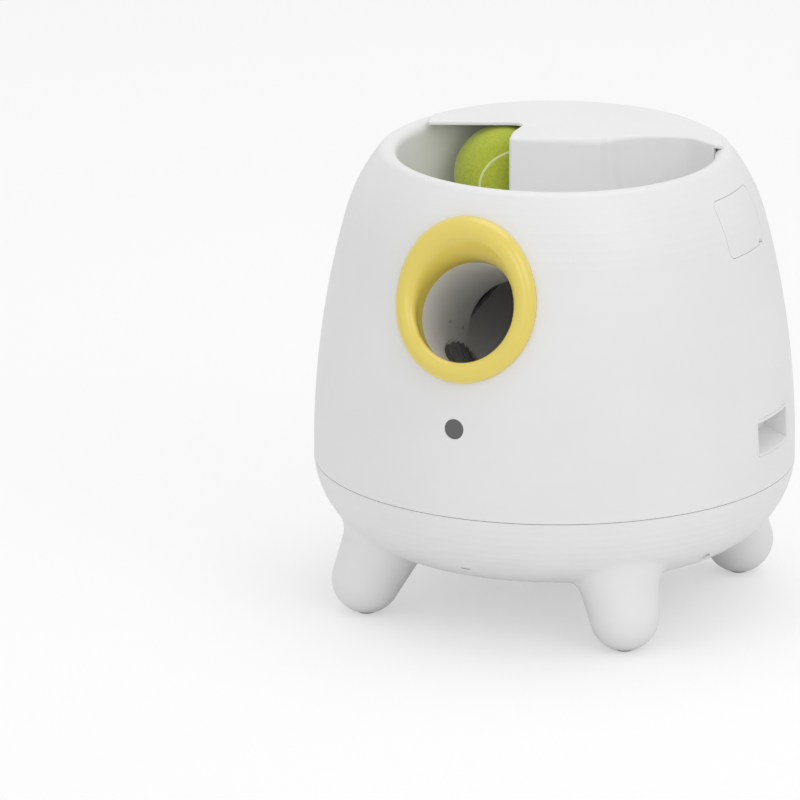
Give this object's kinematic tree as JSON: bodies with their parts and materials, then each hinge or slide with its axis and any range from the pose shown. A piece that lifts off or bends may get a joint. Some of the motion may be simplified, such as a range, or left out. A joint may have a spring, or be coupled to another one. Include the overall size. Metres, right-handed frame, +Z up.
{
  "type": "automatic dog ball launcher",
  "caption": "Domed ball launcher on four splayed legs: a hopper feeds balls past a gate to a ribbed wheel that throws them up through a flared front nozzle.",
  "frame": {"origin": "on the floor, on the casing's own axis", "axes": "+Z up, -Y towards the nozzle, +X towards the control hatch"},
  "size_m": [0.299, 0.2999, 0.2894],
  "materials": {
    "casing": "satin white moulding",
    "leg": "satin white moulding",
    "hopper": "satin white moulding",
    "nozzle": "glossy yellow",
    "barrel": "smooth grey",
    "tyre": "ribbed dark rubber",
    "felt": "yellow-green felt",
    "pad_rubber": "soft rubber",
    "inner_plastic": "dark moulding",
    "frame_plastic": "light grey moulding",
    "gate": "orange moulding",
    "gear": "ivory moulding",
    "brass": "machined",
    "steel": "plated",
    "cell": "printed sleeve",
    "board": "solder mask",
    "button": "orange cap",
    "lens": "dark infrared window"
  },
  "bodies": {
    "housing": {"upper_shell": "casing", "base_shell": "casing", "leg_front_left": "leg", "leg_front_right": "leg", "leg_rear_left": "leg", "leg_rear_right": "leg", "leg_screws": "steel", "foot_pads": "pad_rubber", "case_screws": "steel", "hopper_bowl": "hopper", "hopper_cover": "hopper", "nozzle_ring": "nozzle", "barrel_tube": "barrel", "feed_chute": "barrel", "gate_servo": "inner_plastic", "bearing_left": "steel", "bearing_right": "steel", "side_plate_left": "frame_plastic", "side_plate_right": "frame_plastic", "tie_rods": "steel", "frame_screws": "steel", "motor_plate": "frame_plastic", "motor_standoffs": "steel", "motor_can": "steel", "motor_end_cap": "inner_plastic", "motor_screws": "steel", "chassis_plate": "frame_plastic", "chassis_screws": "steel", "battery_box": "inner_plastic", "battery_cells": "cell", "battery_contacts": "steel", "door_pin": "steel", "main_board": "board", "board_parts": "inner_plastic", "board_screws": "steel", "speaker": "inner_plastic", "control_tray": "inner_plastic", "selector_body": "inner_plastic", "power_jack": "inner_plastic", "grip_right": "casing", "grip_left": "casing", "sensor_lens": "lens", "sensor_board": "board"},
    "wheel": {"wheel_hub": "inner_plastic", "wheel_tyre": "tyre", "wheel_shaft": "steel", "wheel_spacers": "steel", "wheel_gear": "gear"},
    "rotor": {"motor_shaft": "steel", "motor_pinion": "brass"},
    "gate": {"gate_arm": "gate"},
    "battery_cover": {"battery_door": "casing"},
    "hatch": {"hatch_door": "casing"},
    "button": {"power_button": "button"},
    "knob": {"distance_knob": "inner_plastic"},
    "loose_ball": {"ball": "felt"}
  },
  "joints": [
    {"name": "wheel_spin", "type": "hinge", "parent": "housing", "child": "wheel", "pos_m": [0, -0.0908, 0.13694], "axis": [1, 0, 0], "continuous": true},
    {"name": "rotor_spin", "type": "hinge", "parent": "housing", "child": "rotor", "pos_m": [0.046, -0.0581, 0.12818], "axis": [1, 0, 0], "continuous": true},
    {"name": "gate_swing", "type": "hinge", "parent": "housing", "child": "gate", "pos_m": [0.046, 0.015, 0.18466], "axis": [0, 0, 1], "range_deg": [0, 80]},
    {"name": "battery_cover_hinge", "type": "hinge", "parent": "housing", "child": "battery_cover", "pos_m": [0, -0.0404, 0.0401], "axis": [-1, 0, 0], "range_deg": [0, 90]},
    {"name": "hatch_hinge", "type": "hinge", "parent": "housing", "child": "hatch", "pos_m": [0.11871, 0, 0.2716], "axis": [0, -1, 0], "range_deg": [0, 100]},
    {"name": "power_press", "type": "slide", "parent": "housing", "child": "button", "axis": [-1, 0, 0], "range_m": [0, 0.002], "stiffness_N_per_m": 300, "springref_m": -0.001},
    {"name": "distance_turn", "type": "hinge", "parent": "housing", "child": "knob", "pos_m": [0.11, -0.012, 0.2545], "axis": [1, 0, 0], "range_deg": [-135, 135]},
    {"name": "ball_roll", "type": "slide", "parent": "housing", "child": "loose_ball", "axis": [-0.3391, -0.9354, 0.0999], "range_m": [0, 0.035]}
  ],
  "couplings": [
    {"joint": "rotor_spin", "follows": "wheel_spin", "ratio": -2.8571}
  ]
}
